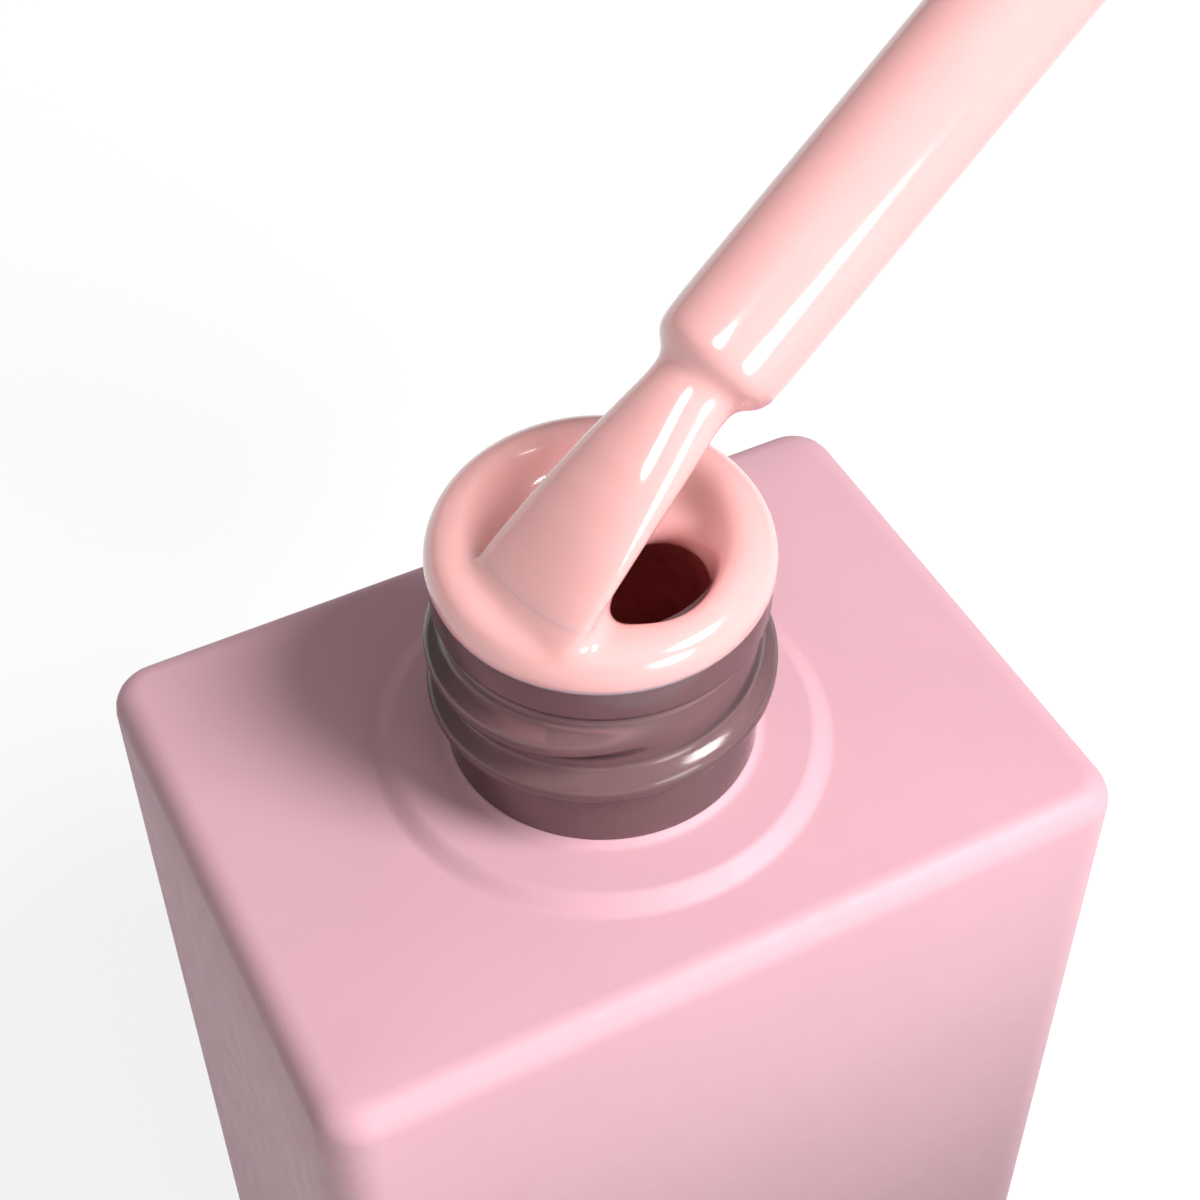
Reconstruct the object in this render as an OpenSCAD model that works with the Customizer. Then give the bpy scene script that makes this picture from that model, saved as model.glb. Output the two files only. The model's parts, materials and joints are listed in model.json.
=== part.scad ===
// Square-shouldered gel polish bottle with its screw-cap brush lying open on the rim.
// Millimetres, +Z up, origin at the centre of the bottle's base.
// The brush parts are drawn along their own axis and laid over the rim by on_brush_axis().

/* [Bottle body] */
// Width of the body, along X
body_w = 36.2; // [32:0.1:44]
// Depth of the body, along Y
body_d = 26.3; // [24:0.1:34]
// Height of the body up to its flat shoulder
body_h = 46; // [38:0.5:60]
// Radius of the four upright edges
upright_edge_r = 2; // [1.5:0.1:3]
// Radius of the edge round the shoulder
shoulder_edge_r = 1.3; // [0.8:0.1:1.4]
// Thickness of the lacquer on the glass
lacquer_t = 0.15; // [0.1:0.05:0.3]
// Thickness of the glass walls
glass_wall = 4.2; // [3:0.1:5]
// Thickness of the glass under the polish
glass_base = 6; // [4:0.5:8]

/* [Neck] */
// Radius of the hole through the neck
bore_r = 4.75; // [4.4:0.05:5]
// Outer radius of the neck between its threads
neck_r = 6.55; // [6.4:0.05:6.8]
// Height of the rim above the shoulder
neck_h = 11.6; // [11:0.1:13]
// Height of the band under the rim
lip_h = 2.7; // [2:0.1:3]
// How far the threads stand out from the neck
thread_depth = 0.7; // [0.5:0.05:0.8]
// Rise of the thread in one turn
thread_pitch = 2.5; // [2.1:0.1:2.8]
// Radius of the raised round step at the foot of the neck
step_r = 9.4; // [9:0.1:10.5]
// Height of that step
step_h = 0.6; // [0.4:0.1:1.2]

/* [Polish] */
// Level of the polish inside, above the base
fill_level = 34; // [20:0.5:36]
// Height of the polish left on the rim
rim_film_h = 0.5; // [0.3:0.1:0.8]
// Thickness of the polish on the stem
stem_film_t = 0.22; // [0.15:0.01:0.35]

/* [Brush and cap] */
// Radius of the bare stem
stem_r = 2.4; // [2.2:0.05:2.6]
// Length of the stem below the liner
stem_len = 37.5; // [34:0.5:40]
// Length of the tuft below the stem
tuft_len = 12.5; // [11:0.5:14]
// Height of the outer cap
cap_h = 38; // [32:0.5:46]
// Wall thickness of the inner cap and of the outer cap
cap_wall = 0.9; // [0.8:0.05:1.2]

/* [How the brush lies] */
// Slope of the stem above the horizontal, in degrees
lean_slope = 31.5; // [28:0.5:40]
// Direction that the stem leans in, in degrees from +X
lean_heading = 14.2; // [0:0.1:30]
// Place on the rim where the tuft's tip rests, in degrees from +X
rest_angle = 214; // [200:1:225]

/* [Hidden] */
$fn = 96;

// Clearances: pieces that slide or turn, soft pieces, and pieces laid side by side
run_gap = 0.05;
soft_gap = 0.25;
laid_gap = 0.05;
// How far a moulded ridge is rooted in the wall that carries it
ridge_root = 0.1;
// Overshoot that keeps a cut clear of the face it opens
cut = 1;

lip_r = neck_r + 0.3;
lip_edge_r = 0.5;
lip_z = body_h + neck_h;
thread_r = neck_r + thread_depth;
cavity_top = body_h - 4;
cavity_edge_r = 3.5;
base_edge_r = 0.8;
lacquer_foot = 1.2;
film_r = bore_r + 0.1;

// Along the brush axis, 0 is the end of the stem, the tuft lies below and the cap above
film_tip_r = 1.6;
film_belly_r = 2.5;
film_root_r = 1.9;
tuft_wall = 0.4;
tip_s = film_tip_r - tuft_len;
belly_s = tip_s + 3.4;
socket_r = 1.5;
socket_depth = 4.5;
staple_w = 3.4;
staple_h = 1.4;
staple_t = 0.4;
flange_r = 3.4;
flange_t = 0.9;
plug_len = 8.5;
liner_t = 1;
cap_bore_r = thread_r + 0.3;
inner_cap_r = cap_bore_r + cap_wall;
overcap_bore_r = inner_cap_r + run_gap;
overcap_r = overcap_bore_r + cap_wall;
skirt_s = stem_len - neck_h + step_h + 0.3;
inner_skirt_s = skirt_s + 0.4;
cap_plate_s = stem_len + liner_t + run_gap;
cap_plate_t = 2;
overcap_top_t = 1.6;
overcap_top_s = skirt_s + cap_h;
tower_r = stem_r + 1.6;
tower_top_s = overcap_top_s - overcap_top_t - run_gap;
rib_t = 1.2;
stem_film_end = stem_len - neck_h - 2.5;

// Point on the rim under the tuft's tip, and the end of the stem above it
rim_mid_r = (bore_r + lip_r) / 2;
tip_height = lip_z + rim_film_h + soft_gap + film_tip_r;
tip_point = [rim_mid_r * cos(rest_angle), rim_mid_r * sin(rest_angle), tip_height];
brush_dir = [
    cos(lean_slope) * cos(lean_heading),
    cos(lean_slope) * sin(lean_heading),
    sin(lean_slope)
];
stem_end = tip_point - tip_s * brush_dir;

// Places its children, drawn along +Z, on the axis of the brush
module on_brush_axis() {
    translate(stem_end) rotate([0, 90 - lean_slope, lean_heading]) children();
}

// Rectangle with round corners, centred
module round_rect(w, d, r) {
    square([w - 2 * r, d], center = true);
    square([w, d - 2 * r], center = true);
    for (sx = [-1, 1], sy = [-1, 1])
        translate([sx * (w / 2 - r), sy * (d / 2 - r)]) circle(r);
}

// Upright outline of a block with one radius at its foot and another at its top
module side_outline(w, h, foot_r, top_r) {
    translate([-w / 2 + foot_r, 0]) square([w - 2 * foot_r, h / 2]);
    translate([-w / 2, foot_r]) square([w, h - foot_r - top_r]);
    translate([-w / 2 + top_r, h / 2]) square([w - 2 * top_r, h / 2]);
    for (side = [-1, 1]) {
        translate([side * (w / 2 - foot_r), foot_r]) circle(foot_r);
        translate([side * (w / 2 - top_r), h - top_r]) circle(top_r);
    }
}

// Block rounded on its upright edges, round its top and round its foot
module round_block(w, d, h, upright_r, foot_r, top_r) {
    intersection() {
        linear_extrude(h) round_rect(w, d, upright_r);
        translate([0, d / 2 + cut, 0]) rotate([90, 0, 0])
            linear_extrude(d + 2 * cut) side_outline(w, h, foot_r, top_r);
        translate([-w / 2 - cut, 0, 0]) rotate([90, 0, 90])
            linear_extrude(w + 2 * cut) side_outline(d, h, foot_r, top_r);
    }
}

// Body of the bottle with its step, brought in by a margin on every side but the base
module body_form(margin) {
    round_block(body_w - 2 * margin, body_d - 2 * margin, body_h - margin,
        upright_edge_r - margin, base_edge_r, shoulder_edge_r - margin);
    cylinder(h = body_h + step_h - margin, r = step_r - margin);
}

// Glass outside the bore: the neck, its band and its rounded rim
module neck_form() {
    cylinder(h = lip_z - lip_h, r = neck_r);
    translate([0, 0, lip_z - lip_h]) cylinder(h = lip_h - lip_edge_r, r = lip_r);
    translate([0, 0, lip_z - lip_edge_r]) {
        cylinder(h = lip_edge_r, r = lip_r - lip_edge_r);
        rotate_extrude() translate([lip_r - lip_edge_r, 0]) circle(lip_edge_r);
    }
}

// Helical ridge between two radii; its ends run out to nothing over the first and last eighth turn
module helical_ridge(root, crest, pitch, turns, root_half, crest_half) {
    steps_per_turn = 40;
    steps = round(turns * steps_per_turn);
    fade = steps_per_turn / 8;
    function swell(i) = max(0.04, min(1, i / fade, (steps - i) / fade));
    function section(i) = let (
        angle = 360 * i / steps_per_turn,
        z = pitch * i / steps_per_turn,
        reach = root + (crest - root) * swell(i),
        foot = root_half * (0.4 + 0.6 * swell(i)),
        tip = crest_half * (0.4 + 0.6 * swell(i))
    ) [
        [root * cos(angle), root * sin(angle), z - foot],
        [reach * cos(angle), reach * sin(angle), z - tip],
        [reach * cos(angle), reach * sin(angle), z + tip],
        [root * cos(angle), root * sin(angle), z + foot]
    ];
    points = [for (i = [0 : steps]) each section(i)];
    sides = [for (i = [0 : steps - 1], k = [0 : 3])
        let (a = 4 * i + k, b = 4 * i + (k + 1) % 4) each [[a, a + 4, b + 4], [a, b + 4, b]]];
    ends = [[0, 1, 2, 3], [for (k = [3 : -1 : 0]) 4 * steps + k]];
    if (crest > root) polyhedron(points, concat(sides, ends));
    else polyhedron(points, [for (f = concat(sides, ends)) [for (k = [len(f) - 1 : -1 : 0]) f[k]]]);
}

// Half outline of the tuft at a distance outside the bristles' coat; negative values lie inside it
function tuft_curve(inset) = let (
    tip = film_tip_r - inset,
    belly = film_belly_r - inset,
    root = film_root_r - inset
) concat(
    [for (a = [0 : 15 : 75]) [tip * sin(a), tip_s - tip * cos(a)]],
    [for (t = [0 : 0.25 : 1]) [tip + (belly - tip) * sin(90 * t), tip_s + (belly_s - tip_s) * t]],
    [for (t = [0.25 : 0.25 : 1]) [root + (belly - root) * (1 + cos(180 * t)) / 2, belly_s * (1 - t)]]
);

module glass_bottle() {
    color([0.62, 0.50, 0.51, 0.45])
    difference() {
        union() {
            body_form(lacquer_t);
            neck_form();
        }
        translate([0, 0, glass_base]) linear_extrude(cavity_top - glass_base)
            round_rect(body_w - 2 * glass_wall, body_d - 2 * glass_wall, cavity_edge_r);
        translate([0, 0, glass_base + cut]) cylinder(h = lip_z, r = bore_r);
    }
}

module neck_thread() {
    thread_turns = 1.75;
    thread_foot = 1.9;
    color([0.58, 0.47, 0.49])
    translate([0, 0, body_h + step_h + thread_foot])
        helical_ridge(neck_r - ridge_root, thread_r, thread_pitch, thread_turns, 0.85, 0.35);
}

module lacquer_coat() {
    color([0.88, 0.68, 0.73])
    difference() {
        body_form(0);
        body_form(lacquer_t);
        cylinder(h = body_h + step_h + cut, r = neck_r + laid_gap);
        translate([0, 0, lacquer_foot / 2]) cube([2 * body_w, 2 * body_d, lacquer_foot], center = true);
    }
}

module polish_fill() {
    color([0.80, 0.47, 0.45])
    translate([0, 0, glass_base + laid_gap]) linear_extrude(fill_level - glass_base)
        round_rect(body_w - 2 * glass_wall - 2 * laid_gap, body_d - 2 * glass_wall - 2 * laid_gap,
            cavity_edge_r);
}

module rim_polish() {
    film_outer_r = lip_r - 0.1;
    film_mid_r = (film_outer_r + film_r) / 2;
    film_half_w = (film_outer_r - film_r) / 2;
    color([0.93, 0.68, 0.65])
    translate([0, 0, lip_z]) rotate_extrude()
        polygon([for (a = [0 : 15 : 180]) [film_mid_r + film_half_w * cos(a), rim_film_h * sin(a)]]);
}

module cap_liner() {
    color([0.93, 0.93, 0.91])
    on_brush_axis() translate([0, 0, stem_len]) difference() {
        cylinder(h = liner_t, r = cap_bore_r - run_gap);
        translate([0, 0, -cut]) cylinder(h = liner_t + 2 * cut, r = stem_r + run_gap);
    }
}

module inner_cap() {
    color([0.93, 0.91, 0.90])
    on_brush_axis() difference() {
        union() {
            translate([0, 0, inner_skirt_s])
                cylinder(h = cap_plate_s + cap_plate_t - inner_skirt_s, r = inner_cap_r);
            translate([0, 0, cap_plate_s]) cylinder(h = tower_top_s - cap_plate_s, r = tower_r);
            for (a = [0 : 90 : 270]) rotate(a)
                translate([0, -rib_t / 2, cap_plate_s])
                    cube([inner_cap_r - 0.2, rib_t, tower_top_s - cap_plate_s]);
        }
        translate([0, 0, inner_skirt_s - cut])
            cylinder(h = cap_plate_s - inner_skirt_s + cut, r = cap_bore_r);
        cylinder(h = stem_len + plug_len, r = stem_r);
        translate([0, 0, stem_len + plug_len + rib_t])
            cylinder(h = overcap_top_s, r = stem_r);
    }
}

module cap_thread() {
    thread_turns = 1.5;
    color([0.93, 0.91, 0.90])
    on_brush_axis() translate([0, 0, inner_skirt_s + 2])
        helical_ridge(cap_bore_r + ridge_root, neck_r + 0.4, thread_pitch, thread_turns, 0.7, 0.3);
}

module brush_stem() {
    end_edge = 0.4;
    color([0.90, 0.88, 0.86])
    on_brush_axis() difference() {
        union() {
            translate([0, 0, end_edge]) cylinder(h = stem_len + plug_len - end_edge, r = stem_r);
            cylinder(h = end_edge, r1 = stem_r - end_edge, r2 = stem_r);
            translate([0, 0, stem_len - flange_t - run_gap]) cylinder(h = flange_t, r = flange_r);
        }
        translate([0, 0, -cut]) cylinder(h = socket_depth + cut, r = socket_r);
        translate([-staple_w / 2, -staple_t / 2, socket_depth - staple_h - 0.1])
            cube([staple_w, staple_t, staple_h]);
    }
}

module bristles() {
    color([0.85, 0.55, 0.52])
    on_brush_axis() difference() {
        rotate_extrude() polygon(concat(
            tuft_curve(tuft_wall),
            [[socket_r, 0], [socket_r, socket_depth - 0.05], [0, socket_depth - 0.05]]
        ));
        translate([-staple_w / 2, -staple_t / 2, socket_depth - staple_h - 0.1])
            cube([staple_w, staple_t, staple_h]);
    }
}

module tuft_staple() {
    color([0.78, 0.72, 0.58])
    on_brush_axis() translate([-staple_w / 2, -staple_t / 2, socket_depth - staple_h - 0.1])
        cube([staple_w, staple_t, staple_h]);
}

module stem_polish() {
    film_r_out = stem_r + stem_film_t;
    shoulder_r = 1.1;
    color([0.92, 0.66, 0.63])
    on_brush_axis() rotate_extrude() polygon(concat(
        [[stem_r + 0.02, stem_film_end], [stem_r + 0.02, -0.02], [film_root_r + 0.05, -0.02]],
        [for (a = [0 : 15 : 90]) [
            film_root_r + 0.05 + (film_r_out - film_root_r - 0.05) * sin(a),
            shoulder_r - 0.4 - shoulder_r * cos(a)
        ]],
        [[film_r_out, stem_film_end - 0.5], [stem_r + 0.1, stem_film_end]]
    ));
}

module tuft_polish() {
    color([0.93, 0.67, 0.64])
    on_brush_axis() difference() {
        rotate_extrude() polygon(concat(tuft_curve(0), [[0, 0]]));
        rotate_extrude() polygon(concat(tuft_curve(tuft_wall - 0.02), [[0, 0]]));
    }
}

module overcap() {
    edge_r = 0.8;
    color([0.88, 0.68, 0.73])
    on_brush_axis() difference() {
        union() {
            translate([0, 0, skirt_s]) cylinder(h = cap_h - edge_r, r = overcap_r);
            translate([0, 0, overcap_top_s - edge_r]) {
                cylinder(h = edge_r, r = overcap_r - edge_r);
                rotate_extrude() translate([overcap_r - edge_r, 0]) circle(edge_r);
            }
        }
        translate([0, 0, skirt_s - cut])
            cylinder(h = cap_h - overcap_top_t + cut, r = overcap_bore_r);
    }
}

glass_bottle();
neck_thread();
lacquer_coat();
polish_fill();
rim_polish();
cap_liner();
inner_cap();
cap_thread();
brush_stem();
bristles();
tuft_staple();
stem_polish();
tuft_polish();
overcap();
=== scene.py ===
"""Gel polish bottle with its brush lying on the rim: the finished surfaces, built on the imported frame."""

import json
import math

import bmesh
import bpy
import numpy as np
from bpy.props import FloatProperty, FloatVectorProperty, IntProperty, PointerProperty
from mathutils import Matrix, Vector


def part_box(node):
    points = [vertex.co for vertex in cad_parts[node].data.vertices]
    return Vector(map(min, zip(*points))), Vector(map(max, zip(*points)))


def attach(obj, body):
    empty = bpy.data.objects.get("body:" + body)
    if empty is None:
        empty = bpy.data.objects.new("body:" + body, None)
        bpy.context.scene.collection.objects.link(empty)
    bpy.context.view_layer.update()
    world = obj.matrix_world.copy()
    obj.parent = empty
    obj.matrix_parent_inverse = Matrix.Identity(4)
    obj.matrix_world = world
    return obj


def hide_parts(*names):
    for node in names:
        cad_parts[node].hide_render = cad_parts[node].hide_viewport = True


bl_info = {
    "name": "Gel Polish Bottle",
    "version": (1, 0, 0),
    "blender": (4, 5, 0),
    "location": "View3D > Sidebar > Bottle",
    "description": "Builds a gel polish bottle, its wet polish, its brush and a studio stage",
    "category": "Object",
}

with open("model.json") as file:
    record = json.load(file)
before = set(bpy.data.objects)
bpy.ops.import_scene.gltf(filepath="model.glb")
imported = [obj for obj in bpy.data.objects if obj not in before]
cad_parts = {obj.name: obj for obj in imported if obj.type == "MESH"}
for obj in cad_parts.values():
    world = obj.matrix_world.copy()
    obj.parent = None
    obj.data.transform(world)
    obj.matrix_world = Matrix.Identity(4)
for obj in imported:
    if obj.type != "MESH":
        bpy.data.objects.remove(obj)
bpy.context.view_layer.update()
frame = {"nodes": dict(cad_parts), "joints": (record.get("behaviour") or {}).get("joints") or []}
MM = 0.001

BODY_LOW, BODY_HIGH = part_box("lacquer_coat")
GLASS_LOW, GLASS_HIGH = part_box("glass_bottle")
THREAD_LOW, THREAD_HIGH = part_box("neck_thread")
FILL_LOW, FILL_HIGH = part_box("polish_fill")
SPIN = next(j for j in frame["joints"] if j["name"] == "cap_spin")
STEM_END = Vector(SPIN["pos_m"])
BRUSH_AXIS = Vector(SPIN["axis"]).normalized()

# Middle and heading of the open hole in the film, and the heading of the film's thick back
HOLE_MIDDLE = Vector((1.3, -2.4, 0.0)) * MM
HOLE_HEADING = 57.0
BACK_HEADING = 67.0


# ---------------------------------------------------------------- settings


class BottleSettings(bpy.types.PropertyGroup):
    """Sizes of the bottle that the frame doesn't state outright."""

    upright_r: FloatProperty(
        name="Upright edge", description="Radius of the upright edges", default=2.0 * MM, unit="LENGTH")
    shoulder_r: FloatProperty(
        name="Shoulder edge", description="Radius round the shoulder", default=1.3 * MM, unit="LENGTH")
    lacquer_t: FloatProperty(
        name="Lacquer", description="Thickness of the lacquer", default=0.15 * MM, unit="LENGTH")
    step_r: FloatProperty(
        name="Step radius", description="Radius of the raised step", default=9.4 * MM, unit="LENGTH")
    step_h: FloatProperty(
        name="Step height", description="Height of the raised step", default=0.6 * MM, unit="LENGTH")
    neck_r: FloatProperty(
        name="Neck radius", description="Neck between the threads", default=6.55 * MM, unit="LENGTH")
    lip_r: FloatProperty(
        name="Lip radius", description="Band under the rim", default=6.85 * MM, unit="LENGTH")
    lip_h: FloatProperty(
        name="Lip height", description="Height of the band", default=2.7 * MM, unit="LENGTH")
    bore_r: FloatProperty(
        name="Bore radius", description="Hole through the neck", default=4.75 * MM, unit="LENGTH")
    thread_pitch: FloatProperty(
        name="Thread pitch", description="Rise in one turn", default=2.5 * MM, unit="LENGTH")
    thread_turns: FloatProperty(
        name="Thread turns", description="Turns of thread on the neck", default=1.75)
    around: IntProperty(
        name="Round steps", description="Faces round the neck", default=128, min=24)


class PolishSettings(bpy.types.PropertyGroup):
    """Shape of the wet polish on the rim and the brush."""

    voxel: FloatProperty(
        name="Grain", description="Voxel size of the polish skin", default=0.13 * MM, unit="LENGTH")
    fillet: FloatProperty(
        name="Fillet", description="How far polish creeps into corners", default=0.35 * MM, unit="LENGTH")
    smoothing: IntProperty(
        name="Smoothing", description="Smoothing passes", default=14, min=0)
    film_h: FloatProperty(
        name="Film height", description="Height of the film on the rim", default=0.8 * MM, unit="LENGTH")
    parting_h: FloatProperty(
        name="Parting height", description="Height over the rim where the brush leaves the film",
        default=1.25 * MM, unit="LENGTH")
    hole_long: FloatProperty(
        name="Hole length", description="Half length of the open hole", default=2.75 * MM, unit="LENGTH")
    hole_short: FloatProperty(
        name="Hole width", description="Half width of the open hole", default=2.0 * MM, unit="LENGTH")
    stem_r: FloatProperty(
        name="Stem radius", description="Coated stem", default=2.62 * MM, unit="LENGTH")
    coat_len: FloatProperty(
        name="Coat length", description="Length of stem under polish", default=23.4 * MM, unit="LENGTH")


class FinishSettings(bpy.types.PropertyGroup):
    """Colours of the finishes."""

    lacquer: FloatVectorProperty(
        name="Lacquer", description="Matte body lacquer", subtype="COLOR", size=3,
        default=(0.80, 0.455, 0.525))
    polish: FloatVectorProperty(
        name="Polish", description="Gel polish", subtype="COLOR", size=3, default=(0.90, 0.475, 0.462))
    # painted shade: the smear colour is the polish as it looks deep in the shaded bore
    smear: FloatVectorProperty(
        name="Smear", description="Polish smeared inside the neck", subtype="COLOR", size=3,
        default=(0.80, 0.24, 0.24))
    # painted shade: this brown is the polish smear behind clear glass as it looks in shade, not a tint of the
    # glass
    glass: FloatVectorProperty(
        name="Glass", description="Smoky tint of the glass", subtype="COLOR", size=3,
        default=(0.46, 0.25, 0.27))
    cap: FloatVectorProperty(
        name="Inner cap", description="Moulded inner cap", subtype="COLOR", size=3,
        default=(0.84, 0.80, 0.79))


class StageSettings(bpy.types.PropertyGroup):
    """Floor, lights and camera."""

    floor: FloatVectorProperty(
        name="Floor", description="Pale floor", subtype="COLOR", size=3, default=(0.30, 0.30, 0.30))
    floor_glow: FloatProperty(
        name="Floor glow", description="Light of the lit floor table", default=0.80)
    key_power: FloatProperty(
        name="Key light", description="Power of the main softbox", default=1.66, unit="POWER")
    fill_power: FloatProperty(
        name="Polish light", description="Power of the softbox on the wet polish", default=0.45, unit="POWER")
    front_power: FloatProperty(
        name="Front light", description="Power of the low front softbox", default=0.5, unit="POWER")
    world: FloatProperty(
        name="Sky", description="Strength of the room's light", default=0.28)
    lens: FloatProperty(
        name="Lens", description="Focal length in millimetres", default=67.35)


# ---------------------------------------------------------------- materials


def material(name):
    """A new material, its nodes, links and Principled shader."""
    mat = bpy.data.materials.new(name)
    mat.use_nodes = True
    tree = mat.node_tree
    return mat, tree.nodes, tree.links, tree.nodes["Principled BSDF"]


def object_noise(nodes, links, scale, detail=4.0, roughness=0.5):
    """Noise on object coordinates; scale is in features per metre."""
    coords = nodes.new("ShaderNodeTexCoord")
    noise = nodes.new("ShaderNodeTexNoise")
    noise.inputs["Scale"].default_value = scale
    noise.inputs["Detail"].default_value = detail
    noise.inputs["Roughness"].default_value = roughness
    links.new(coords.outputs["Object"], noise.inputs["Vector"])
    return noise.outputs["Fac"]


def ramp(nodes, links, fac, stops):
    """A colour ramp over a value, from (position, colour) stops."""
    node = nodes.new("ShaderNodeValToRGB")
    elements = node.color_ramp.elements
    for i, (position, colour) in enumerate(stops):
        element = elements[i] if i < 2 else elements.new(position)
        element.position = position
        element.color = (*colour, 1.0) if len(colour) == 3 else colour
    links.new(fac, node.inputs["Fac"])
    return node.outputs["Color"]


def level(nodes, links, fac, low, high):
    """A value spread between two levels."""
    node = nodes.new("ShaderNodeMapRange")
    node.inputs["From Min"].default_value = 0.3
    node.inputs["From Max"].default_value = 0.7
    node.inputs["To Min"].default_value = low
    node.inputs["To Max"].default_value = high
    links.new(fac, node.inputs["Value"])
    return node.outputs["Result"]


def bump(nodes, links, shader, height, distance, strength):
    """Bump from a height value, into the shader's normal."""
    node = nodes.new("ShaderNodeBump")
    node.inputs["Distance"].default_value = distance
    node.inputs["Strength"].default_value = strength
    links.new(height, node.inputs["Height"])
    links.new(node.outputs["Normal"], shader.inputs["Normal"])


def shade(colour, factor):
    return tuple(min(1.0, c * factor) for c in colour)


def lacquer_material(name, colour):
    """Matte soft-touch lacquer: faint mottle, fine orange peel, uneven sheen."""
    mat, nodes, links, shader = material(name)
    mottle = object_noise(nodes, links, 90.0, 6.0)
    links.new(
        ramp(nodes, links, mottle, [(0.3, shade(colour, 0.97)), (0.7, shade(colour, 1.02))]),
        shader.inputs["Base Color"])
    peel = object_noise(nodes, links, 900.0, 3.0)
    links.new(level(nodes, links, peel, 0.46, 0.56), shader.inputs["Roughness"])
    shader.inputs["Specular IOR Level"].default_value = 0.45
    bump(nodes, links, shader, object_noise(nodes, links, 5200.0, 2.0), 0.02 * MM, 0.35)
    return mat


def polish_material(name, colour, film_low, film_high):
    """Wet gel polish: creamy, glossy, thinning to a cool grey at the film's lower edge."""
    mat, nodes, links, shader = material(name)
    coords = nodes.new("ShaderNodeTexCoord")
    parts = nodes.new("ShaderNodeSeparateXYZ")
    links.new(coords.outputs["Object"], parts.inputs["Vector"])
    height = nodes.new("ShaderNodeMapRange")
    height.interpolation_type = "SMOOTHSTEP"
    height.inputs["From Min"].default_value = film_low
    height.inputs["From Max"].default_value = film_high
    links.new(parts.outputs["Z"], height.inputs["Value"])
    flat = nodes.new("ShaderNodeVectorMath")
    flat.operation = "MULTIPLY"
    flat.inputs[1].default_value = (1.0, 1.0, 0.0)
    links.new(coords.outputs["Object"], flat.inputs[0])
    radius = nodes.new("ShaderNodeVectorMath")
    radius.operation = "LENGTH"
    links.new(flat.outputs["Vector"], radius.inputs[0])
    inside = nodes.new("ShaderNodeMapRange")
    inside.interpolation_type = "SMOOTHSTEP"
    inside.inputs["From Min"].default_value = 6.75 * MM
    inside.inputs["From Max"].default_value = 6.35 * MM
    links.new(radius.outputs["Value"], inside.inputs["Value"])
    full = nodes.new("ShaderNodeMath")
    full.operation = "MAXIMUM"
    links.new(height.outputs["Result"], full.inputs[0])
    links.new(inside.outputs["Result"], full.inputs[1])
    swirl = object_noise(nodes, links, 260.0, 3.0)
    cream = ramp(nodes, links, swirl, [(0.35, shade(colour, 0.985)), (0.65, shade(colour, 1.015))])
    thin = nodes.new("ShaderNodeMix")
    thin.data_type = "RGBA"
    thin.inputs["A"].default_value = (0.36, 0.33, 0.40, 1.0)
    links.new(full.outputs["Value"], thin.inputs["Factor"])
    links.new(cream, thin.inputs["B"])
    links.new(thin.outputs["Result"], shader.inputs["Base Color"])
    shader.inputs["Roughness"].default_value = 0.16
    shader.inputs["Subsurface Weight"].default_value = 0.25
    shader.inputs["Subsurface Radius"].default_value = (1.0, 0.45, 0.35)
    shader.inputs["Subsurface Scale"].default_value = 0.8 * MM
    shader.inputs["Coat Weight"].default_value = 0.6
    shader.inputs["Coat Roughness"].default_value = 0.04
    bump(nodes, links, shader, object_noise(nodes, links, 420.0, 1.0), 0.05 * MM, 0.15)
    return mat


def smear_material(name, colour):
    """Polish inside the bottle, a deeper and redder copy of the wet polish as painted shade: uneven and wet.
    """
    mat, nodes, links, shader = material(name)
    runs = object_noise(nodes, links, 330.0, 4.0, 0.6)
    # painted shade: the smear colour is the polish made deeper and redder, varied by uneven runs
    links.new(
        ramp(nodes, links, runs, [(0.3, shade(colour, 0.75)), (0.7, shade(colour, 1.2))]),
        shader.inputs["Base Color"])
    shader.inputs["Roughness"].default_value = 0.22
    bump(nodes, links, shader, runs, 0.15 * MM, 0.35)
    return mat


def neck_glass_material(name, colour):
    """Bare glass coloured as the polish smear behind it looks in painted shade, darkened towards the glancing
    edges as painted shade, with a faint haze and fine mould waves.
    """
    mat, nodes, links, shader = material(name)
    haze = object_noise(nodes, links, 700.0, 4.0)
    facing = nodes.new("ShaderNodeLayerWeight")
    facing.inputs["Blend"].default_value = 0.4
    # painted shade: the base colour darkens towards the neck's glancing edges
    edge_shade = ramp(nodes, links, facing.outputs["Facing"],
                 [(0.1, shade(colour, 1.15)), (0.75, shade(colour, 0.2))])
    tint = nodes.new("ShaderNodeMix")
    tint.data_type = "RGBA"
    tint.blend_type = "MULTIPLY"
    tint.inputs["Factor"].default_value = 1.0
    links.new(edge_shade, tint.inputs["A"])
    cloud = ramp(nodes, links, haze, [(0.35, (0.92, 0.92, 0.92)), (0.7, (1.0, 1.0, 1.0))])
    links.new(cloud, tint.inputs["B"])
    links.new(tint.outputs["Result"], shader.inputs["Base Color"])
    links.new(level(nodes, links, haze, 0.12, 0.18), shader.inputs["Roughness"])
    shader.inputs["Transmission Weight"].default_value = 0.55
    shader.inputs["IOR"].default_value = 1.5
    bump(nodes, links, shader, object_noise(nodes, links, 500.0, 2.0), 0.05 * MM, 0.25)
    return mat


def moulded_material(name, colour, roughness, grain):
    """Moulded plastic: satin with a fine grain."""
    mat, nodes, links, shader = material(name)
    tone = object_noise(nodes, links, 150.0, 5.0)
    links.new(
        ramp(nodes, links, tone, [(0.3, shade(colour, 0.96)), (0.7, shade(colour, 1.03))]),
        shader.inputs["Base Color"])
    links.new(
        level(nodes, links, object_noise(nodes, links, 1200.0, 2.0), roughness - 0.05, roughness + 0.05),
        shader.inputs["Roughness"])
    bump(nodes, links, shader, object_noise(nodes, links, grain, 2.0), 0.02 * MM, 0.3)
    return mat


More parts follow.
